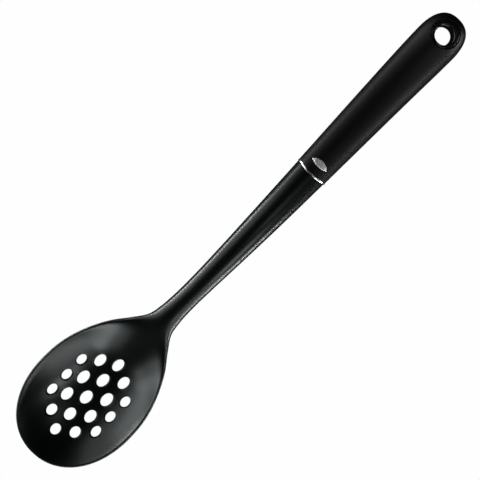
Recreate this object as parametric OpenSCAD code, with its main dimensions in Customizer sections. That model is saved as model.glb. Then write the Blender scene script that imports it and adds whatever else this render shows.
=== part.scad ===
// Slotted serving spoon: a moulded head with drain holes, and a soft grip over a rigid core.
// It lies as on a table. The tip of the bowl points to -X, the handle end to +X, and z = 0 is the table.
// A place along the spoon is given as d, its distance from the tip of the bowl.

/* [Whole spoon] */
// Overall length
total_l = 343; // [320:1:370]

/* [Bowl] */
// Width of the bowl across its rim
bowl_w = 67; // [62:0.5:74]
// Length from the tip to the widest place
bowl_front_l = 43.4; // [40:0.1:48]
// Length from the widest place to the narrowest place of the neck
bowl_back_l = 83.4; // [76:0.2:92]
// Height of the middle of the rim over the table, at the widest place
rim_h = 15; // [12:0.5:18]
// Rise of the rim from the tip towards the neck, in degrees
rim_tilt = 3.3; // [1:0.1:5]
// Radius of the rounded rim
rim_r = 1; // [0.8:0.05:1.2]
// Thickness of the wall at the bottom of the bowl
bowl_wall = 2.4; // [1.8:0.1:3]

/* [Drain holes] */
// Length of a full drain hole, along the spoon
hole_l = 8.3; // [7.6:0.1:9.4]
// Width of a full drain hole
hole_w = 5.9; // [5.4:0.1:7]
// Distance from hole to hole along a row
hole_pitch = 13.2; // [12.6:0.1:14]
// Distance from the middle row to the next row
row_pitch = 9.25; // [8.6:0.05:10]
// How far all the rows lie to the right of the middle line, seen from above with the tip pointing away
row_shift = 0.7; // [0:0.1:1]

/* [Neck] */
// Width at the narrowest place
neck_w = 12.8; // [11:0.1:15]
// Thickness at the narrowest place
neck_t = 10.2; // [8.5:0.1:11.5]
// Height of the middle of the neck over the table at its narrowest place
neck_h = 26.5; // [23:0.5:30]
// Slope of the neck at its narrowest place, in degrees
neck_rise = 14; // [11:0.5:17]
// Width where the neck meets the ring
joint_w = 19.5; // [17:0.1:20.5]
// Thickness where the neck meets the ring
joint_t = 15.6; // [13.5:0.1:16.6]

/* [Tang] */
// Length of the tang inside the handle
tang_l = 46; // [36:1:56]
// Width of the tang
tang_w = 9; // [7:0.1:9.6]
// Thickness of the tang
tang_t = 5; // [4:0.1:5.6]
// Radius of the two windows in the tang
window_r = 1.7; // [1.2:0.1:2.2]

/* [Ring] */
// Width of the ring along the handle
ring_l = 1.1; // [0.8:0.1:2]
// Height of the ring's crown over the neck and grip
ring_proud = 0.3; // [0.2:0.05:0.5]
// How far the middle of the seam reaches towards the bowl
seam_bulge = 1.55; // [1:0.05:2.6]

/* [Grip] */
// Length of the grip, ring to handle end
grip_l = 120.5; // [112:0.5:130]
// Broadest width
grip_w = 26.7; // [24.5:0.1:29]
// Greatest thickness
grip_t = 18.8; // [17.4:0.1:21]
// Width at the ring
grip_front_w = 20; // [19:0.1:22]
// Thickness at the ring
grip_front_t = 16.2; // [15.8:0.1:17.2]
// Length of the rounded handle end
end_l = 19.8; // [17:0.2:24]
// Thickness of the soft sleeve over the core
sleeve_wall = 2.1; // [1.6:0.1:2.4]

/* [Hang hole] */
// Radius of the hole
bore_r = 5.35; // [4.5:0.05:5.8]
// Wall of the eyelet around the hole
eyelet_wall = 2.5; // [2:0.1:2.8]
// Distance from the middle of the hole to the handle end
bore_inset = 13.4; // [13:0.1:15]
// How far the outside of the eyelet lies nearer to the handle end than the hole
lip_shift = 1; // [0:0.1:1.2]
// Depth of the flared mouth
mouth_h = 1.3; // [0.8:0.1:1.8]

/* [Badge] */
// Length of the badge, across the handle
badge_l = 11.2; // [9:0.1:12.5]
// Bow of its edge on the ring's side, from the line between its points
badge_front_bow = 1.4; // [1.3:0.1:2]
// Bow of its edge on the other side
badge_back_bow = 2.7; // [1.8:0.1:3.2]
// Distance from the ring to the line between the points of the badge
badge_inset = 4.9; // [4.5:0.1:12]
// Thickness of the badge
badge_t = 1.2; // [0.9:0.1:1.5]
// Radius of the stem under the badge
stem_r = 1.1; // [0.8:0.1:1.4]

/* [Fits] */
// Gap between the faces of the neck, ring and grip
seam_gap = 0.05; // [0.03:0.01:0.1]
// Clearance between the sleeve and the core
sleeve_gap = 0.1; // [0.05:0.01:0.2]
// Clearance around the tang
tang_gap = 0.1; // [0.05:0.01:0.2]
// Clearance around the eyelet, the badge and its stem
seat_gap = 0.08; // [0.05:0.01:0.15]

/* [Hidden] */
$fn = 96;

nylon_colour = [0.10, 0.105, 0.11];
core_colour = [0.32, 0.33, 0.35];
sleeve_colour = [0.15, 0.145, 0.14];
chrome_colour = [0.82, 0.83, 0.85];
gloss_colour = [0.05, 0.05, 0.055];

// Places along the spoon
d_wide = bowl_front_l;
d_narrow = d_wide + bowl_back_l;
d_grip = total_l - grip_l;
d_ring = d_grip - seam_gap - ring_l;
d_joint = d_ring - seam_gap;
d_broad = total_l - end_l;
d_bore = total_l - bore_inset;
d_lip = d_bore + lip_shift;
d_badge = d_grip + badge_inset;
x_tip = -total_l / 2;

// Outline of the bowl in plan, and how full its sections are
front_power = 2.12;
dish_power = 2.4;
// Extra width of the bowl over the neck, in tenths of the way from widest to narrowest
bowl_width_shares = [1, 0.985, 0.933, 0.838, 0.706, 0.531, 0.297, 0.09, 0.026, 0.005, 0];
// Where the hollow of the bowl starts to rise into the neck and where the neck is solid
hollow_shares = [0.26, 0.78];

// Growth of the neck from its narrowest place to the ring, and of the grip from the ring on
neck_growth_shares = [0, 0.06, 0.15, 0.26, 0.37, 0.485, 0.595, 0.70, 0.80, 0.90, 1];
grip_growth_shares = [0, 0.10, 0.21, 0.315, 0.42, 0.525, 0.63, 0.735, 0.84, 0.935, 1];
oval_power = 2;
end_power = 2.5;
// How far from the ring the sections follow the bulge of the seam
seam_reach = 2 * joint_w;
// Step over which a slope is measured
slope_step = ring_l / 2;

// Rows of drain holes, from the middle row outwards: the row's distance from the middle row, then
// the place along the spoon, the length and the width of each hole from the tip on
row_shares = [0, 1, 1.87];
hole_place_shares = [[-1.94, -1.06, -0.07, 0.95, 1.88], [-1.46, -0.53, 0.47, 1.5], [-0.81, 0.07, 0.98]];
hole_length_shares = [[0.78, 0.91, 1, 1, 0.95], [0.81, 0.95, 1.01, 0.94], [0.85, 0.86, 0.85]];
hole_width_shares = [[0.93, 1.01, 1.02, 0.98, 0.91], [0.94, 0.97, 0.97, 0.92], [0.87, 0.87, 0.87]];

// Numbers of sections and of points in half a section
curve_steps = 12;
half_points = 2 * curve_steps + 5;
front_steps = 13;
back_steps = 18;
neck_steps = 15;
grip_steps = 16;
end_steps = 9;
overrun = 1.5 * bowl_wall;

function clamp(t) = min(1, max(0, t));
function lerp(a, b, t) = a + (b - a) * t;
function smooth(t) = let (c = clamp(t)) c * c * (3 - 2 * c);

// Cubic from a with slope ma to b with slope mb, for f from 0 to 1
function cubic(a, ma, b, mb, f) =
    a + f * (ma + f * (3 * (b - a) - 2 * ma - mb + f * (2 * (a - b) + ma + mb)));

// Value at t, from 0 to 1, of a smooth curve through evenly spaced shares
function along(shares, t) =
    let (n = len(shares) - 1,
         c = clamp(t) * n,
         i = min(n - 1, floor(c)),
         ma = (shares[i + 1] - shares[max(0, i - 1)]) / (i > 0 ? 2 : 1),
         mb = (shares[min(n, i + 2)] - shares[i]) / (i < n - 1 ? 2 : 1))
    cubic(shares[i], ma, shares[i + 1], mb, c - i);

// Unit quarter of a superellipse
function rounding(t, power) = pow(max(0, 1 - pow(clamp(t), power)), 1 / power);

// Height of the middle of the rim, neck and handle at d
arch_l = d_broad - d_narrow;
function side_z(d) =
    d < d_wide ? rim_h + (d - d_wide) * tan(rim_tilt)
    : d < d_narrow ? cubic(rim_h, tan(rim_tilt) * bowl_back_l, neck_h, tan(neck_rise) * bowl_back_l,
                           (d - d_wide) / bowl_back_l)
    : d < d_broad ? cubic(neck_h, tan(neck_rise) * arch_l, grip_t / 2, 0, (d - d_narrow) / arch_l)
    : grip_t / 2;
function side_angle(d) = atan2(side_z(d + slope_step) - side_z(d - slope_step), 2 * slope_step);

// Height of the underside of the bowl on its middle line
function under_z(d) =
    cubic(0, 0, neck_h - neck_t / 2, tan(neck_rise) * bowl_back_l, (d - d_wide) / bowl_back_l);

// Width and thickness of the head behind its widest place
function neck_growth(d) = along(neck_growth_shares, (d - d_narrow) / (d_joint - d_narrow));
function head_w(d) =
    d < d_narrow ? lerp(neck_w, bowl_w, along(bowl_width_shares, (d - d_wide) / bowl_back_l))
    : lerp(neck_w, joint_w, neck_growth(d));
function head_t(d) = lerp(neck_t, joint_t, neck_growth(d));
function hollow(d) =
    1 - smooth(((d - d_wide) / bowl_back_l - hollow_shares[0]) / (hollow_shares[1] - hollow_shares[0]));

// Width and thickness of the grip
function grip_growth(d) = along(grip_growth_shares, (d - d_grip) / (d_broad - d_grip));
function grip_round(d) = rounding((d - d_broad) / end_l, end_power);
function grip_width(d) = lerp(grip_front_w, grip_w, grip_growth(d)) * grip_round(d);
function grip_thick(d) = lerp(grip_front_t, grip_t, grip_growth(d)) * grip_round(d);

// Half a section of the bowl, as [distance from the middle line, height], from the inside over the rim
function dish_half(r, z_rim, z_under) =
    let (core = [r - rim_r, z_rim],
         inside = core + rim_r * [cos(135), sin(135)],
         outside = core + rim_r * [cos(-45), sin(-45)])
    concat(
        [for (i = [0 : curve_steps]) let (s = sin(90 * i / curve_steps))
            [inside.x * s, lerp(z_under + bowl_wall, inside.y, pow(s, dish_power))]],
        [for (a = [90, 45, 0]) core + rim_r * [cos(a), sin(a)]],
        [for (i = [curve_steps : -1 : 0]) let (s = sin(90 * i / curve_steps))
            [outside.x * s, lerp(z_under, outside.y, pow(s, dish_power))]]);

// Half an oval section with as many points, from the top round to the underside
function oval_half(r, z_mid, h) =
    [for (i = [0 : half_points - 1]) let (a = 90 - 180 * i / (half_points - 1))
        [i == 0 || i == half_points - 1 ? 0 : r * pow(abs(cos(a)), 2 / oval_power),
         z_mid + h * sign(sin(a)) * pow(abs(sin(a)), 2 / oval_power)]];

// Shift along the spoon, at distance y from the middle line, that gives the seam at the ring its curve
function seam_shift(d, y) =
    let (across = 2 * y / grip_front_w)
    -seam_bulge * (1 - across * across) * smooth(1 - abs(d - d_ring) / seam_reach);

// Height of the top of the grip on its middle line
function grip_top(d) =
    let (section = d - seam_shift(d, 0))
    side_z(section) + grip_thick(section) / 2;

// Half a section of the head behind the widest place, on the side that hand gives as 1 or -1
function head_half(d, hand) =
    let (r = head_w(d) / 2,
         k = hollow(d),
         oval = oval_half(r, side_z(d), head_t(d) / 2),
         points = k == 0 ? oval
             : let (dish = dish_half(r, side_z(d), under_z(d)))
               [for (i = [0 : half_points - 1]) lerp(oval[i], dish[i], k)])
    [for (p = points) [x_tip + d + seam_shift(d, p.x), hand * p.x, p.y]];

// Half a section of the front of the bowl, from the middle of the bowl to the rim at angle a
function front_half(a) =
    let (rim = [-bowl_front_l * pow(cos(a), 2 / front_power),
                bowl_w / 2 * sign(a) * pow(abs(sin(a)), 2 / front_power)],
         r = norm(rim))
    [for (p = dish_half(r, side_z(d_wide + rim.x), 0))
        [x_tip + d_wide + rim.x * p.x / r, rim.y * p.x / r, p.y]];

// Distances of the sections behind the widest place
head_stations = concat(
    [for (i = [1 : back_steps]) d_wide + bowl_back_l * i / back_steps],
    [for (i = [1 : neck_steps]) lerp(d_narrow, d_joint, i / neck_steps)]);

// Halves of sections in one run: up one side of the head, round the tip and back down the other side
module head_blank() {
    n = len(head_stations);
    m = half_points;
    last_front = n + 2 * front_steps;
    halves = concat(
        [for (i = [n - 1 : -1 : 0]) head_half(head_stations[i], -1)],
        [for (i = [-front_steps : front_steps]) front_half(90 * i / front_steps)],
        [for (i = [0 : n - 1]) head_half(head_stations[i], 1)]);
    count = len(halves);
    // Halves that share a middle line share its two points
    function shared(s) = s < n ? last_front + n - s : s <= last_front ? n : s;
    function id(s, j) = (j == 0 || j == m - 1 ? shared(s) : s) * m + j;
    skin = [for (s = [0 : count - 2], j = [0 : m - 2])
        each [[id(s, j), id(s, j + 1), id(s + 1, j + 1)], [id(s, j), id(s + 1, j + 1), id(s + 1, j)]]];
    mid = (m - 1) / 2;
    cap = [for (j = [0 : mid - 1])
        each [[id(count - 1, j), id(count - 1, j + 1), id(count - 1, m - 2 - j)],
              [id(count - 1, j), id(count - 1, m - 2 - j), id(count - 1, m - 1 - j)],
              [id(0, j), id(0, m - 1 - j), id(0, m - 2 - j)],
              [id(0, j), id(0, m - 2 - j), id(0, j + 1)]]];
    polyhedron(
        points = [for (half = halves) each half],
        faces = [for (f = concat(skin, cap)) if (f[0] != f[1] && f[1] != f[2] && f[2] != f[0]) f]);
}

// Vertical prism that cuts one oval drain hole
module drain_hole(l, w) {
    translate([0, 0, -overrun])
        linear_extrude(rim_h + 2 * overrun)
            scale([l / 2, w / 2]) circle(1);
}

module drain_holes() {
    for (row = [0 : len(row_shares) - 1],
         hand = row == 0 ? [1] : [-1, 1],
         i = [0 : len(hole_place_shares[row]) - 1])
        translate([x_tip + d_wide + hole_pitch * hole_place_shares[row][i],
                   hand * row_pitch * row_shares[row] - row_shift, 0])
            drain_hole(hole_l * hole_length_shares[row][i], hole_w * hole_width_shares[row][i]);
}

// Puts its children at the joint, with +X along the handle
module at_joint() {
    translate([x_tip + d_joint, 0, side_z(d_joint)])
        rotate([0, -side_angle(d_joint), 0])
            children();
}

// Rounded bar of the tang, grown all round by gap, from root before the joint to its far end
module tang_bar(gap, root) {
    corner_r = tang_t / 4;
    translate([-root, 0, 0])
        rotate([90, 0, 90])
            linear_extrude(root + tang_l + gap)
                union() {
                    square([tang_w + 2 * gap - 2 * corner_r, tang_t + 2 * gap], center = true);
                    square([tang_w + 2 * gap, tang_t + 2 * gap - 2 * corner_r], center = true);
                    for (y = [-1, 1], z = [-1, 1])
                        translate([y * (tang_w / 2 + gap - corner_r), z * (tang_t / 2 + gap - corner_r)])
                            circle(corner_r);
                }
}

// Pegs of the core that fill the windows of the tang
window_place_shares = [0.45, 0.75];
module tang_windows(r) {
    for (share = window_place_shares)
        translate([tang_l * share, 0, -tang_t])
            cylinder(h = 2 * tang_t, r = r);
}

module spoon_head() {
    color(nylon_colour)
        difference() {
            union() {
                head_blank();
                at_joint() tang_bar(0, tang_t);
            }
            drain_holes();
            at_joint() tang_windows(window_r);
        }
}

// Full oval section of half width r and half height h, from the top round
function loop_section(d, r, h) =
    let (half = oval_half(r, side_z(d), h),
         right = [for (p = half) [x_tip + d + seam_shift(d, p.x), p.x, p.y]],
         left = [for (i = [half_points - 2 : -1 : 1]) [right[i].x, -right[i].y, right[i].z]])
    concat(right, left);

function tube_faces(count, m, base, inward) =
    [for (s = [0 : count - 2], j = [0 : m - 1])
        let (a = base + s * m + j,
             b = base + s * m + (j + 1) % m,
             c = b + m,
             e = a + m)
        each inward ? [[a, b, c], [a, c, e]] : [[a, c, b], [a, e, c]]];

// Faces that close a section, as upright strips between points at the same distance from the middle
function cap_faces(base, m, inward) =
    [for (j = [0 : m / 4 - 1], right = [true, false])
        let (a = base + (right ? j : (m - j) % m),
             b = base + (right ? j + 1 : m - j - 1),
             c = base + (right ? m / 2 - j - 1 : m / 2 + j + 1),
             e = base + (right ? m / 2 - j : m / 2 + j))
        each [for (f = [[a, b, c], [a, c, e]])
            if (f[0] != f[1] && f[1] != f[2] && f[2] != f[0]) inward == right ? f : [f[0], f[2], f[1]]]];

// Closed skin over full sections
module loft(sections) {
    m = len(sections[0]);
    n = len(sections);
    polyhedron(
        points = [for (s = sections) each s],
        faces = concat(tube_faces(n, m, 0, false), cap_faces(0, m, false), cap_faces((n - 1) * m, m, true)));
}

// Sections of the handle, drawn in by inset all round
last_share = 0.998;
function grip_stations(inset) =
    let (stop = end_l - inset)
    concat(
        [for (i = [0 : grip_steps]) lerp(d_grip, d_broad, i / grip_steps)],
        [for (i = [1 : end_steps]) d_broad + stop * last_share * sin(90 * i / end_steps)]);
function grip_sections(inset) =
    [for (d = grip_stations(inset))
        let (k = rounding((d - d_broad) / (end_l - inset), end_power))
        loop_section(d,
                     (lerp(grip_front_w, grip_w, grip_growth(d)) / 2 - inset) * k,
                     (lerp(grip_front_t, grip_t, grip_growth(d)) / 2 - inset) * k)];

// Sleeve as one skin: the outside, the hollow for the core, and the rim between them at the ring
module sleeve_blank() {
    outer = grip_sections(0);
    inner = grip_sections(sleeve_wall);
    m = len(outer[0]);
    n = len(outer);
    rim = [for (j = [0 : m - 1])
        let (a = j, b = (j + 1) % m, c = n * m + b, e = n * m + a)
        each [[a, b, c], [a, c, e]]];
    polyhedron(
        points = [for (s = concat(outer, inner)) each s],
        faces = concat(tube_faces(n, m, 0, false), cap_faces((n - 1) * m, m, true),
                       tube_faces(n, m, n * m, true), cap_faces((2 * n - 1) * m, m, false), rim));
}

// Upright cylinder through the handle end at d
module end_post(d, r) {
    translate([x_tip + d, 0, -overrun])
        cylinder(h = grip_t + 2 * overrun, r = r);
}
module eyelet_seat() {
    end_post(d_lip, bore_r + eyelet_wall + seat_gap);
}

// Puts its children on top of the grip at the badge, with +Z square to the surface
module at_badge() {
    translate([x_tip + d_badge, 0, grip_top(d_badge)])
        rotate([0, -atan2(grip_top(d_badge + slope_step) - grip_top(d_badge - slope_step), 2 * slope_step), 0])
            children();
}

// Radius of the curve of the grip across the badge
badge_half = badge_l / 2;
badge_sag = grip_thick(d_badge) / 2
    * (1 - rounding(badge_half / (grip_width(d_badge) / 2), oval_power));
badge_curve_r = (badge_half * badge_half + badge_sag * badge_sag) / (2 * badge_sag);
badge_proud = badge_t / 4;
stem_l = sleeve_wall;

// Round bar along the handle whose crown lies at height above the grip
module badge_curve(height) {
    translate([-badge_l, 0, -badge_curve_r])
        rotate([0, 90, 0])
            cylinder(h = 2 * badge_l, r = badge_curve_r + height, $fn = 180);
}

// Radius of an edge of the badge that bows out this far
function bow_r(bow) = (badge_half * badge_half + bow * bow) / (2 * bow);

// Pointed oval of the badge, as an upright prism grown by gap
module badge_outline(gap) {
    intersection_for (edge = [[1, badge_front_bow], [-1, badge_back_bow]])
        translate([edge[0] * (bow_r(edge[1]) - edge[1]), 0, -badge_l])
            cylinder(h = 2 * badge_l, r = bow_r(edge[1]) + gap, $fn = 180);
}

// Bare raised field in the middle of the badge
field_l = badge_l * 0.68;
field_w = (badge_front_bow + badge_back_bow) * 0.6;
field_proud = badge_proud + badge_t / 6;
module badge_field() {
    translate([(badge_back_bow - badge_front_bow) / 2, 0, 0]) {
        translate([-field_w / 2, -(field_l - field_w) / 2, -badge_t / 2])
            cube([field_w, field_l - field_w, badge_t]);
        for (hand = [-1, 1])
            translate([0, hand * (field_l - field_w) / 2, -badge_t / 2])
                cylinder(h = badge_t, r = field_w / 2);
    }
}

module badge_seat() {
    at_badge()
        difference() {
            badge_outline(seat_gap);
            badge_curve(badge_proud - badge_t - seat_gap);
        }
}

module stem_hole() {
    at_badge()
        translate([0, 0, badge_proud - badge_t - stem_l - seat_gap])
            cylinder(h = badge_t + stem_l, r = stem_r + seat_gap);
}

module trim_ring() {
    // From the front of the ring to its back: share of its length, then share of its crown
    crown_shares = [[0, 0], [0.2, 0.75], [0.5, 1], [0.8, 0.75], [1, 0]];
    color(chrome_colour)
        difference() {
            loft([for (s = crown_shares)
                let (d = d_ring + ring_l * s[0],
                     w = lerp(joint_w, grip_front_w, s[0]),
                     t = lerp(joint_t, grip_front_t, s[0]))
                loop_section(d, w / 2 + ring_proud * s[1], t / 2 + ring_proud * s[1])]);
            at_joint() tang_bar(tang_gap, tang_t);
        }
}

module handle_core() {
    color(core_colour)
        difference() {
            loft(grip_sections(sleeve_wall + sleeve_gap));
            at_joint()
                difference() {
                    tang_bar(tang_gap, tang_t);
                    tang_windows(window_r - tang_gap);
                }
            stem_hole();
            eyelet_seat();
        }
}

module grip_sleeve() {
    color(sleeve_colour)
        difference() {
            sleeve_blank();
            badge_seat();
            stem_hole();
            eyelet_seat();
        }
}

module badge_plate() {
    color(chrome_colour)
        at_badge() {
            difference() {
                intersection() {
                    badge_outline(0);
                    badge_curve(badge_proud);
                }
                badge_curve(badge_proud - badge_t);
            }
            intersection() {
                badge_field();
                badge_curve(field_proud);
            }
            translate([0, 0, badge_proud - badge_t - stem_l])
                cylinder(h = stem_l + badge_t / 2, r = stem_r);
        }
}

// Cone that flares the mouth of the hang hole on the side that hand gives as 1 or -1
mouth_w = 1.2 * mouth_h;
module mouth_cone(hand) {
    slope = atan2(grip_thick(d_lip + bore_r) - grip_thick(d_lip - bore_r), 4 * bore_r);
    z = side_z(d_lip) + hand * (grip_thick(d_lip) / 2 - mouth_h);
    translate([x_tip + d_lip, 0, z])
        rotate([0, -hand * slope, 0])
            mirror([0, 0, hand < 0 ? 1 : 0])
                translate([0, 0, -mouth_h])
                    cylinder(h = 4 * mouth_h, r1 = bore_r - mouth_w, r2 = bore_r + 3 * mouth_w);
}

module hang_eyelet() {
    color(gloss_colour)
        difference() {
            intersection() {
                loft(grip_sections(0));
                end_post(d_lip, bore_r + eyelet_wall);
            }
            end_post(d_bore, bore_r);
            for (hand = [-1, 1]) mouth_cone(hand);
        }
}

spoon_head();
trim_ring();
handle_core();
grip_sleeve();
badge_plate();
hang_eyelet();
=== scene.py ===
"""Looks of the slotted serving spoon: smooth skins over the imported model, finishes and a white studio."""
import math

import bpy
from mathutils import Matrix, Vector


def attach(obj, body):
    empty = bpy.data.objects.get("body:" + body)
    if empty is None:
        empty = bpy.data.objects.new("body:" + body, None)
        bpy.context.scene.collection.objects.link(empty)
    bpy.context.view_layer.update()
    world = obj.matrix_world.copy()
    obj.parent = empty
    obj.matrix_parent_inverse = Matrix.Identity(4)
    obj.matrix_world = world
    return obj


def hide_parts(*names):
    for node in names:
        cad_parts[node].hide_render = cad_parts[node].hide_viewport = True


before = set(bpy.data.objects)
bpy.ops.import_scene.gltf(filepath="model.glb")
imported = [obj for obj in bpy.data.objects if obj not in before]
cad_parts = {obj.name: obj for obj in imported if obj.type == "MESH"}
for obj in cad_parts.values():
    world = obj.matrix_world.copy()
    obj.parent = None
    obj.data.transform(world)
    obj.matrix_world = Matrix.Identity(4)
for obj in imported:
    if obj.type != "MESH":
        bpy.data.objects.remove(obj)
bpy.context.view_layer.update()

# Lengths are millimetres, as in the part's source, until a point goes into a mesh
MM = 0.001

# Whole spoon. A place along it is given as d, its distance from the tip of the bowl.
total_l = 343

# Bowl
bowl_w = 67
bowl_front_l = 43.4
bowl_back_l = 83.4
rim_h = 15
rim_tilt = 3.3
rim_r = 1
bowl_wall = 2.4

# Drain holes
hole_l = 8.3
hole_w = 5.9
hole_pitch = 13.2
row_pitch = 9.25
row_shift = 0.7
hole_top_round = 0.5
hole_under_round = 0.35
hole_draft = 0.3
outer_hole_foot = 0.22

# Neck
neck_w = 12.8
neck_t = 10.2
neck_h = 26.5
neck_rise = 14
joint_w = 19.5
joint_t = 15.6

# Tang
tang_l = 46
tang_w = 9
tang_t = 5
window_r = 1.7
tang_gap = 0.1

# Ring
ring_l = 1.1
ring_proud = 0.3
seam_bulge = 1.55
seam_gap = 0.05
crown_power = 0.7
ring_face_shares = [0.15, 0.4, 0.7, 1]

# Grip
grip_l = 120.5
grip_w = 26.7
grip_t = 18.8
grip_front_w = 20
grip_front_t = 16.2
end_l = 19.8
sleeve_wall = 2.1
sleeve_round = 0.3

# Hang hole. The eyelet lies a little nearer the end than in the part's source, and under the grip's surface.
bore_r = 5.35
eyelet_wall = 2.5
bore_inset = 13.4
lip_shift = 1.3
mouth_h = 1.3
mouth_w = 1.2 * mouth_h
flange_w = 0.45
flange_t = 0.9
seat_gap = 0.08
seat_round = 0.5
eyelet_sunk = 0.5
eyelet_edge_round = 0.25

# Badge
badge_l = 11.2
badge_front_bow = 1.4
badge_back_bow = 2.7
badge_inset = 4.9
badge_t = 1.2
badge_proud = badge_t / 4
badge_bevel = 0.3
badge_top_shares = [0.8, 0.6, 0.4, 0.2, 0]
badge_seat_round = 0.25
field_l = badge_l * 0.72
field_w = (badge_front_bow + badge_back_bow) * 0.68
field_shift = (badge_back_bow - badge_front_bow) * 0.42
field_proud = badge_proud + badge_t / 6
field_bevel = 0.12
stem_r = 1.1
stem_l = sleeve_wall

# Places along the spoon
d_wide = bowl_front_l
d_narrow = d_wide + bowl_back_l
d_grip = total_l - grip_l
d_ring = d_grip - seam_gap - ring_l
d_joint = d_ring - seam_gap
d_broad = total_l - end_l
d_bore = total_l - bore_inset
d_lip = d_bore + lip_shift
d_badge = d_grip + badge_inset
x_tip = -total_l / 2
x_wide = x_tip + d_wide

# Fullness of the curves and growth of the widths, as in the part's source
front_power = 2.12
dish_power = 2.4
oval_power = 2
end_power = 2.5
bar_power = 6
bowl_width_shares = [1, 0.985, 0.933, 0.838, 0.706, 0.531, 0.297, 0.09, 0.026, 0.005, 0]
hollow_shares = [0.26, 0.78]
neck_growth_shares = [0, 0.06, 0.15, 0.26, 0.37, 0.485, 0.595, 0.70, 0.80, 0.90, 1]
grip_growth_shares = [0, 0.10, 0.21, 0.315, 0.42, 0.525, 0.63, 0.735, 0.84, 0.935, 1]
row_shares = [0, 1, 1.87]
hole_place_shares = [[-1.94, -1.06, -0.07, 0.95, 1.88], [-1.46, -0.53, 0.47, 1.5], [-0.81, 0.07, 0.98]]
hole_length_shares = [[0.78, 0.91, 1, 1, 0.95], [0.81, 0.95, 1.01, 0.94], [0.85, 0.86, 0.85]]
hole_width_shares = [[0.93, 1.01, 1.02, 0.98, 0.91], [0.94, 0.97, 0.97, 0.92], [0.87, 0.87, 0.87]]
window_place_shares = [0.45, 0.75]
seam_reach = 2 * joint_w
slope_step = ring_l / 2
arch_l = d_broad - d_narrow

# A half section counts its steps as the part's source does: 12 inside, 4 round the rim, 12 outside. The rim's
# rounding starts inside at this angle, in degrees, and turns by half a circle.
curve_steps = 12
rim_steps = 4
half_steps = 2 * curve_steps + rim_steps
rim_start = 135

# Fineness of the meshes, as steps along a run
neck_stations = 80
bowl_back_steps = 100
bowl_front_steps = 96
inside_steps = 36
head_rim_steps = 12
outside_steps = 30
joint_face_steps = 6
tang_edge_steps = 4
grip_stations = 110
end_stations = 32
sleeve_edge_steps = 3
sleeve_lip_steps = 5
crown_steps = 12
badge_edge_steps = 5
field_edge_steps = 3
eyelet_edge_steps = 4
eyelet_mouth_steps = 14
mouth_steps = 6

# Fineness of the meshes, as steps round a section or an outline
hole_sides = 56
ring_sides = 144
grip_sides = 112
bore_sides = 112
badge_sides = 96
field_sides = 64
stem_sides = 48
window_sides = 48

# Cutters reach this far past the surfaces that they cut, and a rounded mouth turns by this angle before it
# runs out through the surface
overrun = 1.5
mouth_turn = 75

# Points closer than the first of these are merged, and edges shorter than the second are dropped
weld = 0.002
speck = 0.001

# Small steps aside for a ray that would pass exactly through an edge of a skin
nudges = (0, 0.003, -0.005)

# Edges that turn by more than these angles, in degrees, are bevelled, or stay sharp in the shading
bevel_angle = 30
smooth_angle = 35


def lerp(a, b, t):
    return a + (b - a) * t


def clamp(t):
    return min(1, max(0, t))


def smooth(t):
    c = clamp(t)
    return c * c * (3 - 2 * c)


def cubic(a, ma, b, mb, f):
    """Curve from a with slope ma to b with slope mb, for f from 0 to 1."""
    return a + f * (ma + f * (3 * (b - a) - 2 * ma - mb + f * (2 * (a - b) + ma + mb)))


def along(shares, t):
    """Value at t of a smooth curve through evenly spaced shares."""
    n = len(shares) - 1
    c = clamp(t) * n
    i = min(n - 1, int(c))
    ma = (shares[i + 1] - shares[max(0, i - 1)]) / (2 if i > 0 else 1)
    mb = (shares[min(n, i + 2)] - shares[i]) / (2 if i < n - 1 else 1)
    return cubic(shares[i], ma, shares[i + 1], mb, c - i)


def rounding(t, power):
    """Unit quarter of a superellipse."""
    return max(0, 1 - clamp(t) ** power) ** (1 / power)


def bulged(value, power):
    """Sine or cosine of an angle, drawn out to a superellipse."""
    return math.copysign(abs(value) ** (2 / power), value)


def turned(degrees):
    """Unit vector at an angle, as (cosine, sine)."""
    return math.cos(math.radians(degrees)), math.sin(math.radians(degrees))


def slope(degrees):
    return math.tan(math.radians(degrees))


def side_z(d):
    """Height of the middle of the rim, neck and handle."""
    if d < d_wide:
        return rim_h + (d - d_wide) * slope(rim_tilt)
    if d < d_narrow:
        return cubic(rim_h, slope(rim_tilt) * bowl_back_l, neck_h, slope(neck_rise) * bowl_back_l,
                     (d - d_wide) / bowl_back_l)
    if d < d_broad:
        return cubic(neck_h, slope(neck_rise) * arch_l, grip_t / 2, 0, (d - d_narrow) / arch_l)
    return grip_t / 2


def under_z(d):
    """Height of the underside of the bowl on its middle line."""
    if d < d_wide:
        return 0
    return cubic(0, 0, neck_h - neck_t / 2, slope(neck_rise) * bowl_back_l, (d - d_wide) / bowl_back_l)


def neck_growth(d):
    return along(neck_growth_shares, (d - d_narrow) / (d_joint - d_narrow))


def head_w(d):
    if d < d_narrow:
        return lerp(neck_w, bowl_w, along(bowl_width_shares, (d - d_wide) / bowl_back_l))
    return lerp(neck_w, joint_w, neck_growth(d))


def head_t(d):
    return lerp(neck_t, joint_t, neck_growth(d))


def hollow(d):
    """Share of the dish in a section: 1 in the bowl, 0 on the neck."""
    start, stop = hollow_shares
    return 1 - smooth(((d - d_wide) / bowl_back_l - start) / (stop - start))


def grip_growth(d):
    return along(grip_growth_shares, (d - d_grip) / (d_broad - d_grip))


def seam_shift(d, y):
    """Shift along the spoon that gives the seam at the ring its curve."""
    across = 2 * y / grip_front_w
    return -seam_bulge * (1 - across * across) * smooth(1 - abs(d - d_ring) / seam_reach)


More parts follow.
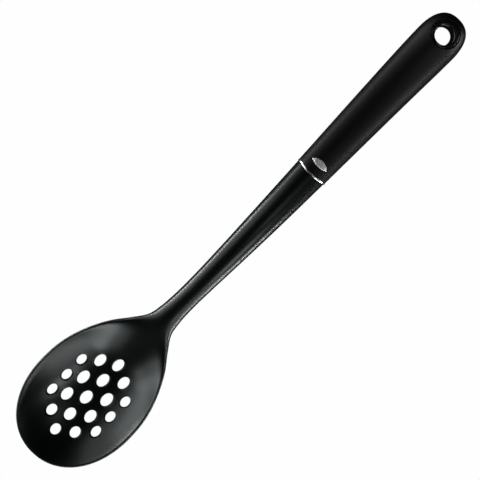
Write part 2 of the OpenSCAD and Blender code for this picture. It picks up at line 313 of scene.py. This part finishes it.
def dish_point(r, z_rim, z_under, step):
    """Point of a half section of the bowl, as (distance from the middle line, height)."""
    if curve_steps < step < curve_steps + rim_steps:
        turn = turned(rim_start - 180 * (step - curve_steps) / rim_steps)
        return r - rim_r + rim_r * turn[0], z_rim + rim_r * turn[1]
    inside = step <= curve_steps
    turn = turned(rim_start if inside else rim_start - 180)
    edge = (r - rim_r + rim_r * turn[0], z_rim + rim_r * turn[1])
    share = turned(90 * (step if inside else half_steps - step) / curve_steps)[1]
    floor_z = z_under + (bowl_wall if inside else 0)
    return edge[0] * share, lerp(floor_z, edge[1], share ** dish_power)


def oval_point(r, z_mid, h, step):
    """Point of a half section of the neck, counted as those of the bowl are."""
    cosine, sine = turned(90 - 180 * step / half_steps)
    return r * bulged(max(0, cosine), oval_power), z_mid + h * bulged(sine, oval_power)


def back_point(d, hand, step):
    """Point of the head behind its widest place, on the side that hand gives as 1 or -1."""
    y, z = oval_point(head_w(d) / 2, side_z(d), head_t(d) / 2, step)
    k = hollow(d)
    if k > 0:
        dish = dish_point(head_w(d) / 2, side_z(d), under_z(d), step)
        y, z = lerp(y, dish[0], k), lerp(z, dish[1], k)
    return x_tip + d + seam_shift(d, y), hand * y, z


def front_point(angle, step):
    """Point of the front of the bowl, on the run from its middle to the rim at this angle."""
    cosine, sine = turned(angle)
    rim_x = -bowl_front_l * abs(cosine) ** (2 / front_power)
    rim_y = bowl_w / 2 * bulged(sine, front_power)
    r = math.hypot(rim_x, rim_y)
    out, z = dish_point(r, side_z(d_wide + rim_x), 0, step)
    return x_wide + rim_x * out / r, rim_y * out / r, z


def grip_point(d, inset, k):
    """Point of the handle's skin, drawn in by inset, at share k of the way round from the left side."""
    closing = rounding((d - d_broad) / (end_l - inset), end_power)
    r = (lerp(grip_front_w, grip_w, grip_growth(d)) / 2 - inset) * closing
    h = (lerp(grip_front_t, grip_t, grip_growth(d)) / 2 - inset) * closing
    cosine, sine = turned(360 * k)
    y = r * bulged(cosine, oval_power)
    return x_tip + d + seam_shift(d, y), y, side_z(d) + h * bulged(sine, oval_power)


def evenly(start, stop, steps):
    """Values from start to stop, both ends included."""
    return [lerp(start, stop, i / steps) for i in range(steps + 1)]


def select_only(*pieces):
    """Selects these objects alone, and makes the first one active."""
    bpy.ops.object.select_all(action="DESELECT")
    for piece in pieces:
        piece.select_set(True)
    bpy.context.view_layer.objects.active = pieces[0]


def close_seams(piece):
    """Merges the points that meet, drops the faces that this leaves empty, and turns the rest outwards."""
    select_only(piece)
    bpy.ops.object.mode_set(mode="EDIT")
    bpy.ops.mesh.select_all(action="SELECT")
    bpy.ops.mesh.remove_doubles(threshold=weld * MM)
    bpy.ops.mesh.dissolve_degenerate(threshold=speck * MM)
    bpy.ops.mesh.select_all(action="SELECT")
    bpy.ops.mesh.normals_make_consistent(inside=False)
    bpy.ops.object.mode_set(mode="OBJECT")


def lattice(name, across, up, place):
    """Grid primitive with a point for each value in across and each in up, moved to place(a, b)."""
    bpy.ops.object.select_all(action="DESELECT")
    bpy.ops.mesh.primitive_grid_add(x_subdivisions=len(across) - 1, y_subdivisions=len(up) - 1, size=2,
                                    calc_uvs=False)
    piece = bpy.context.object
    piece.name = name
    for vertex in piece.data.vertices:
        a = across[round((vertex.co.x + 1) / 2 * (len(across) - 1))]
        b = up[round((vertex.co.y + 1) / 2 * (len(up) - 1))]
        vertex.co = Vector(place(a, b)) * MM
    close_seams(piece)
    return piece


def joined(name, *pieces):
    """Makes one object of these."""
    select_only(*pieces)
    bpy.ops.object.join()
    piece = bpy.context.object
    piece.name = name
    return piece


def settle(piece):
    """Puts the object at the origin, with its place in its mesh."""
    select_only(piece)
    bpy.ops.object.transform_apply(location=True, rotation=True, scale=True)


def combine(piece, other, operation):
    """Cuts other out of piece, or adds it, and removes it."""
    select_only(piece)
    modifier = piece.modifiers.new(operation.lower(), "BOOLEAN")
    modifier.operation = operation
    modifier.object = other
    modifier.solver = "EXACT"
    bpy.ops.object.modifier_apply(modifier=modifier.name)
    bpy.data.objects.remove(other)


def bevel(piece, width, segments):
    """Rounds the sharp edges of a piece."""
    select_only(piece)
    modifier = piece.modifiers.new("edges", "BEVEL")
    modifier.width = width * MM
    modifier.segments = segments
    modifier.limit_method = "ANGLE"
    modifier.angle_limit = math.radians(bevel_angle)
    bpy.ops.object.modifier_apply(modifier=modifier.name)


def surface_z(skin, x, y, side):
    """Height of the top of a skin (side 1) or of its underside (side -1)."""
    for nudge in nudges:
        start = Vector(((x + nudge) * MM, (y + nudge) * MM, side))
        hit, place, _, _ = skin.ray_cast(start, Vector((0, 0, -side)))
        if hit:
            return place.z / MM
    raise ValueError(f"nothing of {skin.name} at {x:.2f}, {y:.2f}")


def ellipse(length, width):
    """Outline of an ellipse, as a function of the share k of the way round and of the outset."""

    def outline(k, outset):
        cosine, sine = turned(360 * k)
        return (length / 2 + outset) * cosine, (width / 2 + outset) * sine

    return outline


def arc_radius(bow):
    """Radius of the arc that is as long as the badge and stands out by bow in its middle."""
    return ((badge_l / 2) ** 2 + bow ** 2) / (2 * bow)


def badge_outline(k, outset):
    """Outline of the badge: two arcs, the one on the ring's side flatter, that meet in points."""
    front_r = arc_radius(badge_front_bow)
    back_r = arc_radius(badge_back_bow)
    front_x = front_r - badge_front_bow
    back_x = badge_back_bow - back_r
    front_r += outset
    back_r += outset
    point_x = (front_x ** 2 - back_x ** 2 - front_r ** 2 + back_r ** 2) / (2 * (front_x - back_x))
    half = math.sqrt(front_r ** 2 - (point_x - front_x) ** 2)
    y = -half * turned(360 * k)[0]
    if k < 0.5:
        return back_x + math.sqrt(back_r ** 2 - y ** 2), y
    return front_x - math.sqrt(front_r ** 2 - y ** 2), y


def column(name, skin, x, outline, rings, count, y=0):
    """Closed skin round an upright axis at x, y. Each ring has the share of the outline's size that it
    keeps, its outset, its side of the skin as 1 or -1, and how far it lies off the skin there."""

    def place(k, ring):
        share, outset, side, lift = ring
        across, up = outline(k, outset)
        ring_x = x + share * across
        ring_y = y + share * up
        return ring_x, ring_y, surface_z(skin, ring_x, ring_y, side) + side * lift

    return lattice(name, evenly(0, 1, count), rings, place)


def flare(radius, side, outset=0):
    """Rings of a rounded mouth, from its wall outwards and on through the surface at a low angle."""
    rings = [(1, outset + radius * (1 - turned(angle)[0]), side, -radius * (1 - turned(angle)[1]))
             for angle in evenly(0, mouth_turn, mouth_steps)]
    cosine, sine = turned(90 - mouth_turn)
    out = rings[-1][1] + radius * cosine
    up = rings[-1][3] + radius * sine
    return rings + [(1, out, side, up), (1, out, side, overrun), (0, out, side, overrun)]


def drain_cutter(head, x, y, outline, foot):
    """Cutter of a drain hole with rounded mouths, narrower at its foot and wider at its head."""
    under = flare(hole_under_round, -1, -foot)[::-1]
    top = flare(hole_top_round, 1, hole_draft - foot)
    return column("drain_cutter", head, x, outline, under + top, hole_sides, y)


# Spoon head: one moulding with bowl, drain holes, neck and tang
def head_skin():
    """Sections in one run: up one side, round the tip and back down the other side."""
    stations = evenly(d_joint, d_narrow, neck_stations)[:-1] + evenly(d_narrow, d_wide, bowl_back_steps)[:-1]
    strips = [(d, -1) for d in stations] + [(angle, 0) for angle in evenly(-90, 90, bowl_front_steps)]
    strips += [(d, 1) for d in reversed(stations)]
    steps = evenly(0, curve_steps, inside_steps)
    steps += evenly(curve_steps, curve_steps + rim_steps, head_rim_steps)[1:]
    steps += evenly(curve_steps + rim_steps, half_steps, outside_steps)[1:]

    def place(step, strip):
        d, hand = strip
        return back_point(d, hand, step) if hand else front_point(d, step)

    def joint_place(step, strip):
        hand, drop = strip
        top = Vector(back_point(d_joint, hand, step))
        return top.lerp(Vector(back_point(d_joint, hand, half_steps - step)), drop)

    skin = lattice("skin", steps, strips, place)
    upper_steps = [step for step in steps if step <= half_steps / 2]
    drops = evenly(0, 1, joint_face_steps)
    faces = [lattice("joint_face", upper_steps, [(hand, drop) for drop in drops], joint_place)
             for hand in (-1, 1)]
    skin = joined("spoon_skin", skin, *faces)
    close_seams(skin)
    return skin


def at_joint(place):
    """Matrix that puts a thing at the joint, with +X along the handle."""
    rise = side_z(d_joint + slope_step) - side_z(d_joint - slope_step)
    turn = Matrix.Rotation(-math.atan2(rise, 2 * slope_step), 4, "Y")
    joint = Vector((x_tip + d_joint, 0, side_z(d_joint)))
    return Matrix.Translation((joint + turn @ Vector(place)) * MM) @ turn


def make_tang():
    """Flat bar that goes on into the handle, with two round windows through it."""
    bpy.ops.object.select_all(action="DESELECT")
    bpy.ops.mesh.primitive_cube_add(size=1)
    tang = bpy.context.object
    length = tang_l + tang_t
    tang.matrix_world = at_joint((length / 2 - tang_t, 0, 0))
    tang.scale = Vector((length, tang_w, tang_t)) * MM
    settle(tang)
    bevel(tang, tang_t / 4, tang_edge_steps)
    for share in window_place_shares:
        bpy.ops.mesh.primitive_cylinder_add(vertices=window_sides, radius=window_r * MM,
                                            depth=2 * tang_t * MM)
        window = bpy.context.object
        window.matrix_world = at_joint((tang_l * share, 0, 0))
        settle(window)
        combine(tang, window, "DIFFERENCE")
    return tang


def make_spoon_head():
    """The head's skin with its tang added and its drain holes cut."""
    head = head_skin()
    outer_row = len(row_shares) - 1
    cutters = []
    for row, row_share in enumerate(row_shares):
        for hand in ((1,) if row == 0 else (-1, 1)):
            holes = zip(hole_place_shares[row], hole_length_shares[row], hole_width_shares[row])
            for place, length, width in holes:
                outline = ellipse(hole_l * length, hole_w * width)
                x = x_wide + hole_pitch * place
                y = hand * row_pitch * row_share - row_shift
                foot = outer_hole_foot if row == outer_row else 0
                cutters.append(drain_cutter(head, x, y, outline, foot))
    combine(head, make_tang(), "UNION")
    combine(head, joined("drain_cutters", *cutters), "DIFFERENCE")
    head.name = "spoon_body"
    return head


# Trim ring: a bright crowned band with the tang's opening through it
def make_trim_ring():
    """Profile over the crown, down the far face to the tang's opening, and back up the near face."""
    crown = [(0.5 - 0.5 * turned(angle)[0], ring_proud * turned(angle)[1] ** crown_power, 0)
             for angle in evenly(0, 180, crown_steps)]
    far_face = [(1, 0, share) for share in ring_face_shares]
    near_face = [(0, 0, share) for share in reversed(ring_face_shares)]
    profile = crown + far_face + near_face + crown[:1]

    def place(k, ring):
        share, grow, inward = ring
        d = d_ring + ring_l * share
        cosine, sine = turned(360 * k)
        r = lerp(joint_w, grip_front_w, share) / 2 + grow
        h = lerp(joint_t, grip_front_t, share) / 2 + grow
        y = lerp(r * bulged(cosine, oval_power), (tang_w / 2 + tang_gap) * bulged(cosine, bar_power), inward)
        rise = lerp(h * bulged(sine, oval_power), (tang_t / 2 + tang_gap) * bulged(sine, bar_power), inward)
        return x_tip + d + seam_shift(d, y), y, side_z(d) + rise

    return lattice("ring_band", evenly(0, 1, ring_sides), profile, place)


# Grip sleeve: soft skin with its hollow, the badge's seat and the eyelet's seat
def grip_skin():
    """Outside, rounded lip at the ring, and hollow in one run from the inner end round to the outer end."""

    def stations(inset):
        ends = [d_broad + (end_l - inset) * turned(angle)[1] for angle in evenly(0, 90, end_stations)]
        return evenly(d_grip + sleeve_round, d_broad, grip_stations) + ends[1:]

    def place(k, ring):
        d, inset = ring
        return grip_point(d, inset, k)

    hollow_rings = [(d, sleeve_wall) for d in reversed(stations(sleeve_wall))]
    lip = [(d_grip, lerp(sleeve_wall, sleeve_round, share)) for share in evenly(0, 1, sleeve_edge_steps)]
    lip += [(d_grip + sleeve_round * (1 - turned(angle)[0]), sleeve_round * (1 - turned(angle)[1]))
            for angle in evenly(0, 90, sleeve_lip_steps)[1:-1]]
    rings = hollow_rings + lip + [(d, 0) for d in stations(0)]
    return lattice("grip_skin", evenly(0, 1, grip_sides), rings, place)


def bore_cutter(skin):
    """Cutter of the hole for the eyelet, with a ledge for its flange at either end."""
    post_w = 2 * (bore_r + eyelet_wall + seat_gap)
    ledge_lift = -flange_t - seat_gap
    ledge = [(1, 0, 1, ledge_lift), (1, flange_w, 1, ledge_lift)] + flare(seat_round, 1, flange_w)
    under_ledge = [(share, out, -side, lift) for share, out, side, lift in reversed(ledge)]
    post = ellipse(post_w, post_w)
    return column("bore_cutter", skin, x_tip + d_lip, post, under_ledge + ledge, bore_sides)


def seat_cutter(skin):
    """Cutter of the badge's seat."""
    floor_lift = badge_proud - badge_t - seat_gap
    rings = [(0, seat_gap, 1, floor_lift), (1, seat_gap, 1, floor_lift)]
    rings += [(1, seat_gap + out, side, lift) if share else (0, out, side, lift)
              for share, out, side, lift in flare(badge_seat_round, 1)]
    return column("seat_cutter", skin, x_tip + d_badge, badge_outline, rings, badge_sides)


def make_grip_sleeve(skin):
    """The handle's skin with the eyelet's hole and the badge's seat cut into it."""
    bore = bore_cutter(skin)
    seat = seat_cutter(skin)
    sleeve = skin.copy()
    sleeve.data = skin.data.copy()
    bpy.context.scene.collection.objects.link(sleeve)
    combine(sleeve, joined("grip_cutters", bore, seat), "DIFFERENCE")
    sleeve.name = "soft_sleeve"
    return sleeve


# Badge: a pointed chrome plate with a bare raised field
def badge_skin(skin):
    """The plate, bevelled round its top and bowed with the grip."""
    low = badge_proud - badge_t
    edge = [(1, -badge_bevel * (1 - turned(angle)[0]), 1, badge_proud - badge_bevel * (1 - turned(angle)[1]))
            for angle in evenly(0, 90, badge_edge_steps)]
    rings = [(share, 0, 1, low) for share in (0, 0.5, 1)] + edge
    rings += [(share, -badge_bevel, 1, badge_proud) for share in badge_top_shares]
    return column("badge_lens", skin, x_tip + d_badge, badge_outline, rings, badge_sides)


def badge_field(skin):
    """The raised field: a round disc drawn out sideways, then laid on the grip."""
    bpy.ops.object.select_all(action="DESELECT")
    bpy.ops.mesh.primitive_cylinder_add(vertices=field_sides, radius=field_w / 2 * MM, depth=badge_t * MM)
    field = bpy.context.object
    for vertex in field.data.vertices:
        vertex.co.y += math.copysign((field_l - field_w) / 2 * MM, vertex.co.y)
    bevel(field, field_bevel, field_edge_steps)
    select_only(field)
    bpy.ops.object.mode_set(mode="EDIT")
    bpy.ops.mesh.select_all(action="SELECT")
    bpy.ops.mesh.subdivide(number_cuts=1)
    bpy.ops.object.mode_set(mode="OBJECT")
    for vertex in field.data.vertices:
        x = x_tip + d_badge + field_shift + vertex.co.x / MM
        y = vertex.co.y / MM
        lift = vertex.co.z / MM + field_proud - badge_t / 2
        vertex.co = Vector((x, y, surface_z(skin, x, y, 1) + lift)) * MM
    return field


def badge_stem(skin):
    """The stem under the plate, which starts inside it."""
    x = x_tip + d_badge
    plate_low = surface_z(skin, x, 0, 1) + badge_proud - badge_t
    bpy.ops.mesh.primitive_cylinder_add(vertices=stem_sides, radius=stem_r * MM, depth=stem_l * MM,
                                        location=Vector((x, 0, plate_low - stem_l / 3)) * MM)
    stem = bpy.context.object
    settle(stem)
    return stem


def make_badge(skin):
    """The plate with its field and its stem."""
    plate = badge_skin(skin)
    combine(plate, badge_field(skin), "UNION")
    combine(plate, badge_stem(skin), "UNION")
    plate.name = "badge_lens"
    return plate


# Hang eyelet: glossy liner with a flange and a rounded mouth at either end
def make_eyelet(skin):
    """Profile round a flange, over its edge and down into the mouth, the same at either end."""
    outer = eyelet_wall + flange_w
    rim = [(eyelet_wall, -flange_t), (outer, -flange_t)]
    for angle in evenly(0, 90, eyelet_edge_steps):
        cosine, sine = turned(angle)
        rim.append((outer - eyelet_edge_round * (1 - cosine), -eyelet_sunk - eyelet_edge_round * (1 - sine)))
    for angle in evenly(0, 90, eyelet_mouth_steps):
        cosine, sine = turned(angle)
        rim.append((mouth_w * (1 - sine), -eyelet_sunk - 2 * mouth_h * (1 - cosine)))
    rings = [(1, out, 1, lift) for out, lift in rim]
    rings += [(1, out, -1, lift) for out, lift in reversed(rim)]
    rings.append(rings[0])

    def circle(k, outset):
        cosine, sine = turned(360 * k)
        return (bore_r + outset) * cosine + lip_shift * clamp(outset / mouth_w), (bore_r + outset) * sine

    return column("eyelet_liner", skin, x_tip + d_bore, circle, rings, bore_sides)


class Value:
    """A shader socket. An expression on values adds the Math nodes that work it out."""

    def __init__(self, finish, socket):
        self.finish = finish
        self.socket = socket

    def math(self, operation, *others):
        return self.finish.node("ShaderNodeMath", {"operation": operation}, dict(enumerate((self, *others))))

    def __add__(self, other):
        return self.math("ADD", other)

    def __mul__(self, other):
        return self.math("MULTIPLY", other)

    __radd__ = __add__
    __rmul__ = __mul__


class Finish:
    """A material whose nodes are added by one method."""

    def __init__(self, name):
        self.material = bpy.data.materials.new(name)
        self.material.use_nodes = True
        self.tree = self.material.node_tree
        self.tree.nodes.clear()

    def node(self, kind, settings=None, values=None, out=0):
        """Adds a node, sets its settings, then its sockets, and gives back one of its outputs."""
        made = self.tree.nodes.new(kind)
        for key, setting in (settings or {}).items():
            setattr(made, key, setting)
        for key, value in (values or {}).items():
            if isinstance(value, Value):
                self.tree.links.new(value.socket, made.inputs[key])
            else:
                made.inputs[key].default_value = value
        return Value(self, made.outputs[out]) if made.outputs else None

    def place(self):
        return self.node("ShaderNodeTexCoord", out="Object")

    def noise(self, size, detail=2, stretch=(1, 1, 1)):
        """Noise from 0 to 1 whose grains are about size millimetres wide."""
        spot = self.node("ShaderNodeMapping", {"vector_type": "POINT"},
                         {"Vector": self.place(), "Scale": stretch})
        return self.node("ShaderNodeTexNoise", None,
                         {"Vector": spot, "Scale": 1 / (size * MM), "Detail": detail, "Roughness": 0.55})

    def blend(self, share, low, high):
        """Colour between low and high."""
        return self.node("ShaderNodeMix", {"data_type": "RGBA"},
                         {"Factor": share, 6: (*low, 1), 7: (*high, 1)}, out=2)

    def bump(self, height, depth):
        """Normal of a relief whose height runs from 0 to 1 over depth millimetres."""
        return self.node("ShaderNodeBump", None, {"Height": height, "Distance": depth * MM, "Strength": 1})

    def close(self, shader):
        self.node("ShaderNodeOutputMaterial", None, {"Surface": shader})
        return self.material

    def surface(self, **sockets):
        """Principled shader. A socket's name is written with _ for a space."""
        names = {"ior": "IOR", "specular_ior_level": "Specular IOR Level"}
        values = {names.get(key, key.replace("_", " ").title()): value for key, value in sockets.items()}
        return self.close(self.node("ShaderNodeBsdfPrincipled", None, values))


def nylon_finish():
    """Satin black moulded nylon, a little cool, with the fine grain of its mould."""
    finish = Finish("satin_nylon")
    grain = finish.noise(0.2)
    cloud = finish.noise(26, stretch=(0.5, 1, 1))
    colour = finish.blend(cloud, (0.0006, 0.0010, 0.0013), (0.0010, 0.0014, 0.0018))
    rough = 0.25 + 0.05 * cloud + 0.06 * grain
    return finish.surface(base_color=colour, roughness=rough, ior=1.5, specular_tint=(0.92, 1, 0.99, 1),
                          normal=finish.bump(grain, 0.0015))


def sleeve_finish():
    """Matte soft-touch skin, neutral black."""
    finish = Finish("soft_touch")
    grain = finish.noise(0.25)
    cloud = finish.noise(18, stretch=(0.4, 1, 1))
    colour = finish.blend(cloud, (0.0010, 0.0010, 0.0009), (0.0016, 0.0015, 0.0014))
    rough = 0.38 + 0.05 * cloud + 0.06 * grain
    return finish.surface(base_color=colour, roughness=rough, ior=1.48, specular_ior_level=0.38,
                          normal=finish.bump(grain, 0.003))


def chrome_finish(name, rough, grain_depth):
    """Plated metal with a faint grain."""
    finish = Finish(name)
    grain = finish.noise(0.25, stretch=(1, 0.3, 1))
    colour = finish.blend(grain, (0.74, 0.75, 0.74), (0.86, 0.87, 0.85))
    return finish.surface(base_color=colour, metallic=1.0, roughness=rough + 0.08 * grain,
                          normal=finish.bump(grain, grain_depth))


def gloss_finish():
    """Polished black liner."""
    finish = Finish("gloss_black")
    haze = finish.noise(3)
    colour = finish.blend(haze, (0.005, 0.005, 0.0055), (0.008, 0.008, 0.0085))
    return finish.surface(base_color=colour, roughness=0.14 + 0.06 * haze, ior=1.5,
                          normal=finish.bump(haze, 0.01))


def core_finish():
    """Unpolished grey core inside the grip."""
    finish = Finish("core_plastic")
    grain = finish.noise(0.8, 3)
    cloud = finish.noise(12)
    colour = finish.blend(cloud, (0.075, 0.078, 0.085), (0.095, 0.098, 0.105))
    return finish.surface(base_color=colour, roughness=0.5 + 0.1 * grain, normal=finish.bump(grain, 0.03))


def floor_finish():
    """White paper. The camera sees it evenly lit, and it throws back less light than it seems to."""
    finish = Finish("white_paper")
    seen = finish.node("ShaderNodeLightPath", out="Is Camera Ray")
    paper = finish.node("ShaderNodeBsdfDiffuse", None, {"Color": (0.05, 0.05, 0.05, 1)})
    glow = finish.node("ShaderNodeEmission", None, {"Color": (1, 1, 1, 1), "Strength": 0.99})
    return finish.close(finish.node("ShaderNodeMixShader", None, {0: seen, 1: paper, 2: glow}))


def dress(piece, material, slot, *nodes):
    """Gives a piece its finish and its body, and hides the imported nodes that it stands for. The slot is not
    used.
    """
    piece.data.materials.clear()
    piece.data.materials.append(material)
    select_only(piece)
    bpy.ops.object.shade_smooth_by_angle(angle=math.radians(smooth_angle))
    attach(piece, "root")
    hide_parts(*nodes)


handle_skin = grip_skin()
dress(make_spoon_head(), nylon_finish(), "nylon", "spoon_head")
dress(make_trim_ring(), chrome_finish("ring_chrome", 0.22, 0.002), "bright_trim", "trim_ring")
dress(make_grip_sleeve(handle_skin), sleeve_finish(), "soft_grip", "grip_sleeve")
dress(make_badge(handle_skin), chrome_finish("badge_chrome", 0.55, 0.006), "bright_trim", "badge_plate")
dress(make_eyelet(handle_skin), gloss_finish(), "gloss_black", "hang_eyelet")
bpy.data.objects.remove(handle_skin)

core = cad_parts["handle_core"]
core.data.materials.clear()
core.data.materials.append(core_finish())


# Studio, in metres: white paper, walls of softboxes on both sides, and low strips that stand on the paper.
# Each softbox has the middle of its face, the point that it faces, its length, its height and its brightness.
# The photograph's highlights run along both sides of the spoon, and fade towards the end of the handle.
# Softboxes that overlap stand 2 cm apart, because of two that lie in one plane a ray counts only one.
paper_width = 12
softboxes = {
    "left_wall": ((-1.05, 0.8, 0.39), (-1.05, 0, 0.39), 0.7, 0.56, 3),
    "left_near": ((-0.45, 0.8, 0.22), (-0.45, 0, 0.22), 0.5, 0.42, 2.5),
    "left_haze": ((-0.55, 0.82, 0.52), (-0.55, 0, 0.52), 1.7, 1.02, 1),
    "left_strip": ((-0.1, 0.4, 0.015), (-0.1, 0, 0.015), 0.3, 0.03, 40),
    "left_low": ((0.15, 0.4, 0.08), (0.15, 0, 0.08), 0.2, 0.04, 7),
    "right_wall": ((-1.05, -0.8, 0.39), (-1.05, 0, 0.39), 0.7, 0.56, 4.5),
    "right_near": ((-0.45, -0.8, 0.22), (-0.45, 0, 0.22), 0.5, 0.42, 2.5),
    "right_foot": ((-0.8, -0.82, 0.06), (-0.8, 0, 0.06), 1.2, 0.1, 4),
    "right_high": ((-0.2, -0.8, 0.85), (-0.2, 0, 0.85), 0.5, 0.36, 5),
    "right_strip": ((-0.05, -0.4, 0.015), (-0.05, 0, 0.015), 0.2, 0.03, 40),
    "right_low": ((0.4, -0.4, 0.08), (0.4, 0, 0.08), 0.3, 0.06, 15),
    "bowl_left": ((-1.4, 0.55, 0.55), (0, 0.55, 0.55), 0.35, 0.24, 4.5),
    "bowl_right": ((-1.4, -0.55, 0.35), (0, -0.55, 0.35), 0.35, 0.24, 2.5),
    "top": ((0.25, -0.3, 1.2), (0.25, -0.3, 0), 0.25, 0.3, 1.5),
}


def make_floor():
    """Square sheet of paper that reaches past the camera's view."""
    bpy.ops.object.select_all(action="DESELECT")
    bpy.ops.mesh.primitive_plane_add(size=paper_width)
    paper = bpy.context.object
    paper.name = "paper"
    paper.data.materials.append(floor_finish())


def add_softbox(name, place, aim, length, height, brightness):
    """Area light at place, turned to aim, with its length level. A brightness of 1 shows as white."""
    data = bpy.data.lights.new(name, "AREA")
    data.shape = "RECTANGLE"
    data.size = length
    data.size_y = height
    data.energy = math.pi * brightness * length * height
    light = bpy.data.objects.new(name, data)
    light.location = place
    light.rotation_euler = (Vector(aim) - Vector(place)).to_track_quat("-Z", "Y").to_euler()
    light.visible_camera = False
    bpy.context.scene.collection.objects.link(light)


def make_world():
    """White to the camera, and nearly dark to the spoon."""
    world = bpy.data.worlds.new("studio")
    world.use_nodes = True
    tree = world.node_tree
    tree.nodes.clear()
    seen = tree.nodes.new("ShaderNodeLightPath")
    dark = tree.nodes.new("ShaderNodeBackground")
    dark.inputs["Color"].default_value = (0.002, 0.002, 0.002, 1)
    white = tree.nodes.new("ShaderNodeBackground")
    white.inputs["Color"].default_value = (0.99, 0.99, 0.99, 1)
    mix = tree.nodes.new("ShaderNodeMixShader")
    out = tree.nodes.new("ShaderNodeOutputWorld")
    tree.links.new(seen.outputs["Is Camera Ray"], mix.inputs[0])
    tree.links.new(dark.outputs[0], mix.inputs[1])
    tree.links.new(white.outputs[0], mix.inputs[2])
    tree.links.new(mix.outputs[0], out.inputs["Surface"])
    bpy.context.scene.world = world


make_floor()
make_world()
for name, setting in softboxes.items():
    add_softbox(name, *setting)

# Camera of the photograph: high above the spoon, tipped a little, and turned so that the handle points up
# right. It looks at a point of the table. Angles are degrees, the focal length is in widths of the picture,
# and the camera's reach is in metres.
camera_distance = 1270
looked_at = (-4.241, -0.217)
tip_along = -1.086
tip_across = -4.326
spin = -45.294
sensor_width = 36
picture_width = 480
focal_widths = 2232.4 / picture_width
camera_reach = 20

camera_data = bpy.data.cameras.new("camera")
camera_data.sensor_width = sensor_width
camera_data.lens = sensor_width * focal_widths
camera_data.clip_end = camera_reach
camera = bpy.data.objects.new("camera", camera_data)
bpy.context.scene.collection.objects.link(camera)
tip = Matrix.Rotation(math.radians(tip_along), 3, "Y") @ Matrix.Rotation(math.radians(tip_across), 3, "X")
turn = tip @ Matrix.Rotation(math.radians(spin), 3, "Z")
lens_place = Vector((*looked_at, 0)) + tip @ Vector((0, 0, camera_distance))
camera.matrix_world = Matrix.Translation(lens_place * MM) @ turn.to_4x4()
bpy.context.scene.camera = camera
bpy.context.scene.view_settings.view_transform = "Standard"
